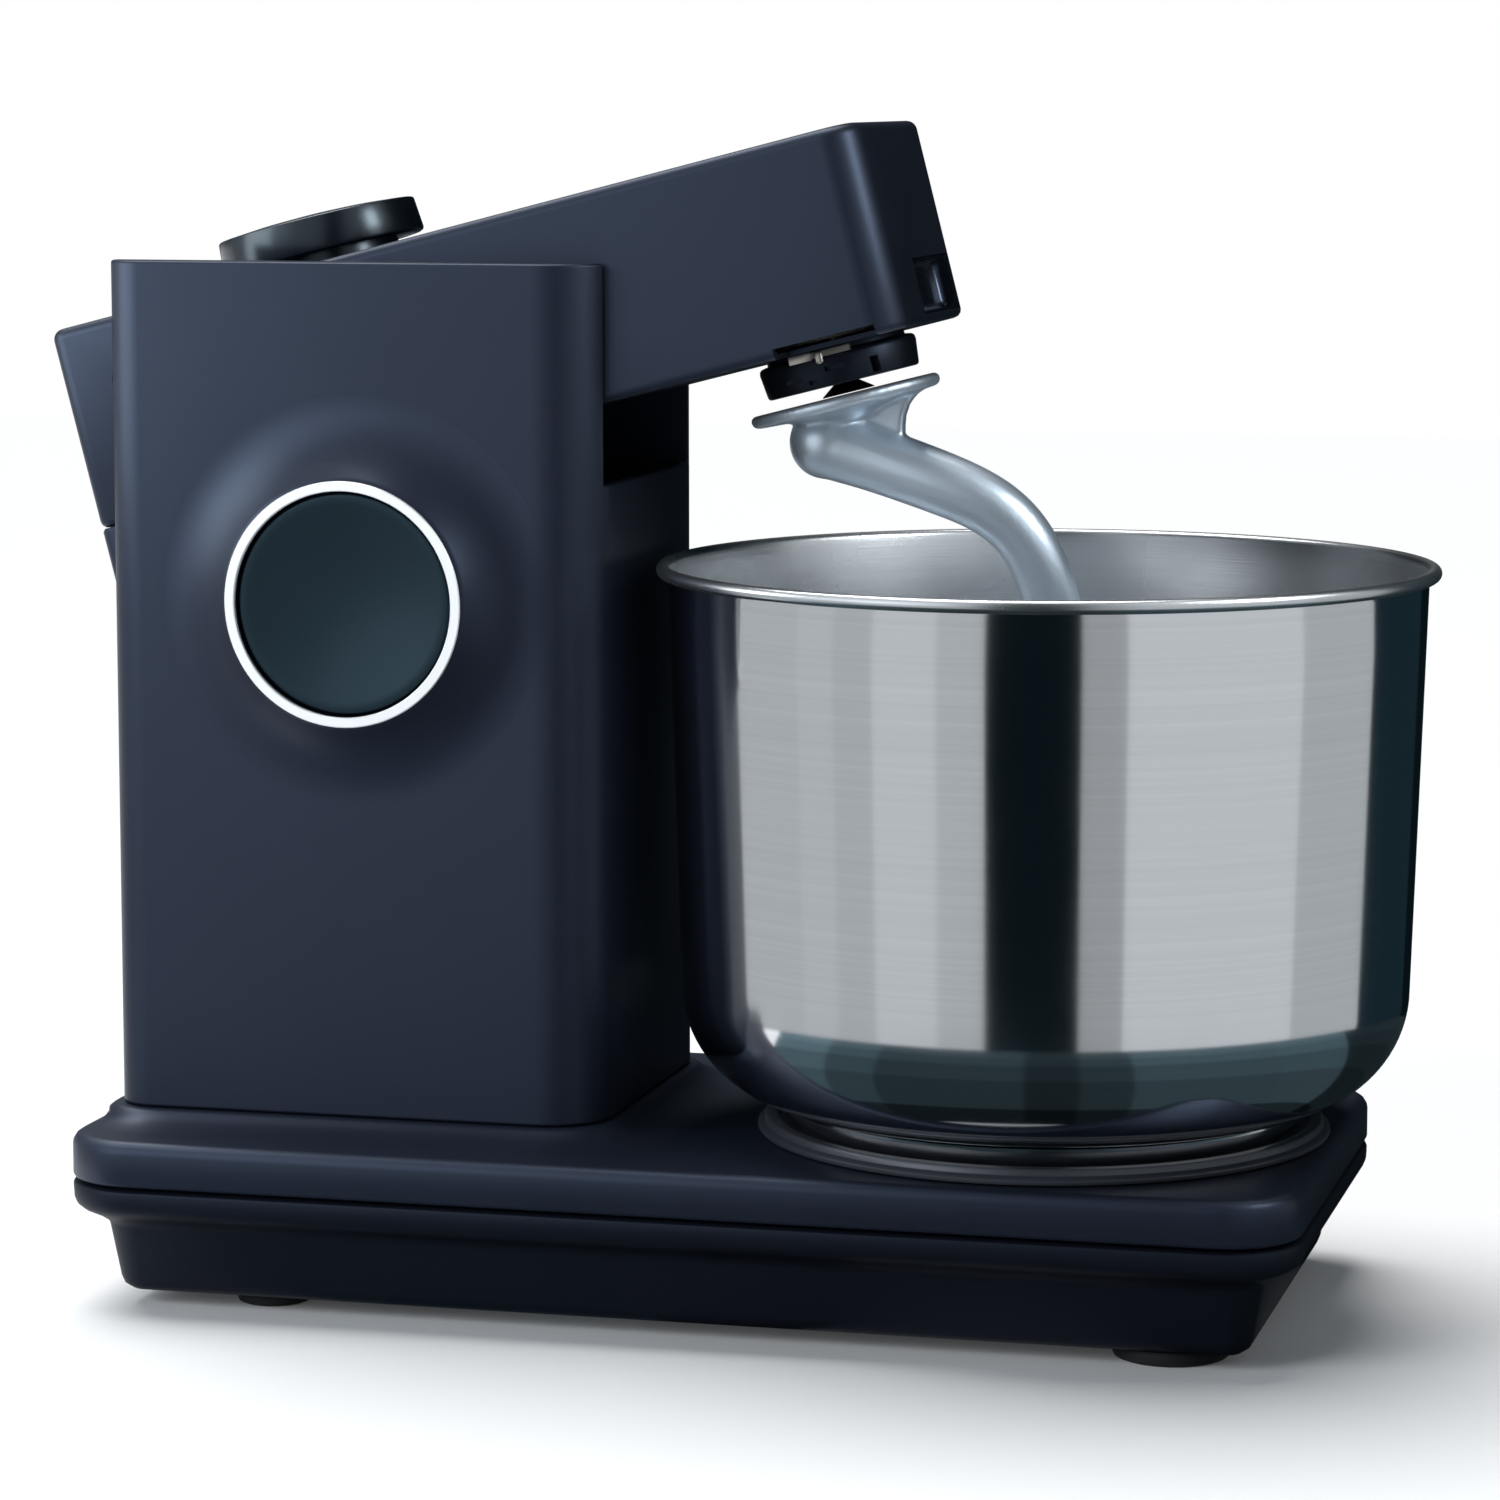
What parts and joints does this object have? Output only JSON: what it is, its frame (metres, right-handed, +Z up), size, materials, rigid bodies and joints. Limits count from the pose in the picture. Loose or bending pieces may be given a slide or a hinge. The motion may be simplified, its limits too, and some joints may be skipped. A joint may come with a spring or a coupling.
{
  "type": "stand mixer",
  "caption": "Tilt-head stand mixer with a two-cheek tower, raised arm with top dial, planetary hub with dough hook, and a steel bowl on a low base.",
  "frame": {"origin": "centre of the plan bounding box, on the surface the feet stand on, arm raised", "axes": "+X forward from the tower to the bowl, +Y to the left side (the release button is on the -Y side), +Z up"},
  "size_m": [0.4326, 0.2436, 0.3703],
  "materials": {
    "housing_black": "fine matt",
    "tray_black": "matt",
    "rubber_black": "matt",
    "ring_satin": "satin",
    "bowl_steel": "polished outside, brushed inside",
    "cast_aluminium": "cast, satin",
    "plated_steel": "plated",
    "gear_nylon": "natural nylon",
    "board_green": "satin"
  },
  "bodies": {
    "stand": {"base_top_shell": "housing_black", "base_bottom_tray": "tray_black", "foot_front_left": "rubber_black", "foot_front_right": "rubber_black", "foot_rear_left": "rubber_black", "foot_rear_right": "rubber_black", "base_screw_1": "plated_steel", "base_screw_2": "plated_steel", "base_screw_3": "plated_steel", "base_screw_4": "plated_steel", "bowl_seat_ring": "tray_black", "tower_cheek_right": "housing_black", "tower_cheek_left": "housing_black", "tower_front_panel": "housing_black", "tower_rear_cover": "housing_black", "hinge_bracket_left": "plated_steel", "hinge_bracket_right": "plated_steel", "hinge_shaft": "plated_steel", "lift_spring": "plated_steel", "release_boss": "housing_black", "ring_trim": "ring_satin", "button_spring": "plated_steel", "cable_gland": "rubber_black"},
    "arm": {"arm_upper_shell": "housing_black", "arm_lower_cover": "housing_black", "arm_leg": "housing_black", "leg_bush_left": "gear_nylon", "leg_bush_right": "gear_nylon", "grip_liner": "tray_black", "motor_body": "plated_steel", "motor_plate": "plated_steel", "drive_belt": "rubber_black", "ring_gear": "gear_nylon", "hub_bearing": "plated_steel", "speed_switch": "tray_black", "control_board": "board_green", "filter_capacitor": "gear_nylon"},
    "dial": {"control_dial": "housing_black", "dial_shaft": "plated_steel"},
    "button": {"release_button": "housing_black"},
    "rotor": {"motor_rotor": "plated_steel"},
    "carrier": {"hub_housing": "housing_black", "carrier_shaft": "plated_steel", "hub_pulley": "gear_nylon", "tool_clip": "plated_steel", "tool_clip_screw": "plated_steel"},
    "tool": {"tool_spindle": "tray_black", "planet_gear": "gear_nylon", "dough_hook": "cast_aluminium"},
    "bowl": {"mixing_bowl": "bowl_steel", "bowl_foot_ring": "bowl_steel"}
  },
  "joints": [
    {"name": "arm_tilt", "type": "hinge", "parent": "stand", "child": "arm", "pos_m": [-0.1006, 0, 0.13], "axis": [0, 1, 0], "range_deg": [0, 14.4]},
    {"name": "dial_turn", "type": "hinge", "parent": "arm", "child": "dial", "pos_m": [-0.13945, 0, 0.32393], "axis": [-0.2487, 0, 0.9686], "range_deg": [-210, 30]},
    {"name": "button_push", "type": "slide", "parent": "stand", "child": "button", "axis": [0, 1, 0], "range_m": [0, 0.005], "stiffness_N_per_m": 900, "springref_m": -0.002, "deforming": ["button_spring"]},
    {"name": "rotor_spin", "type": "hinge", "parent": "arm", "child": "rotor", "pos_m": [-0.14565, 0, 0.2733], "axis": [-0.2487, 0, 0.9686], "continuous": true},
    {"name": "carrier_spin", "type": "hinge", "parent": "arm", "child": "carrier", "pos_m": [0.02834, 0, 0.29732], "axis": [-0.2487, 0, 0.9686], "continuous": true},
    {"name": "tool_spin", "type": "hinge", "parent": "carrier", "child": "tool", "pos_m": [0.02657, 0.01034, 0.29687], "axis": [-0.2487, 0, 0.9686], "continuous": true},
    {"name": "bowl_turn", "type": "hinge", "parent": "stand", "child": "bowl", "pos_m": [0.0955, 0, 0.066], "axis": [0, 0, 1], "range_deg": [0, 25]}
  ],
  "couplings": [
    {"joint": "rotor_spin", "follows": "carrier_spin", "ratio": 2.7},
    {"joint": "tool_spin", "follows": "carrier_spin", "ratio": -2.75}
  ]
}
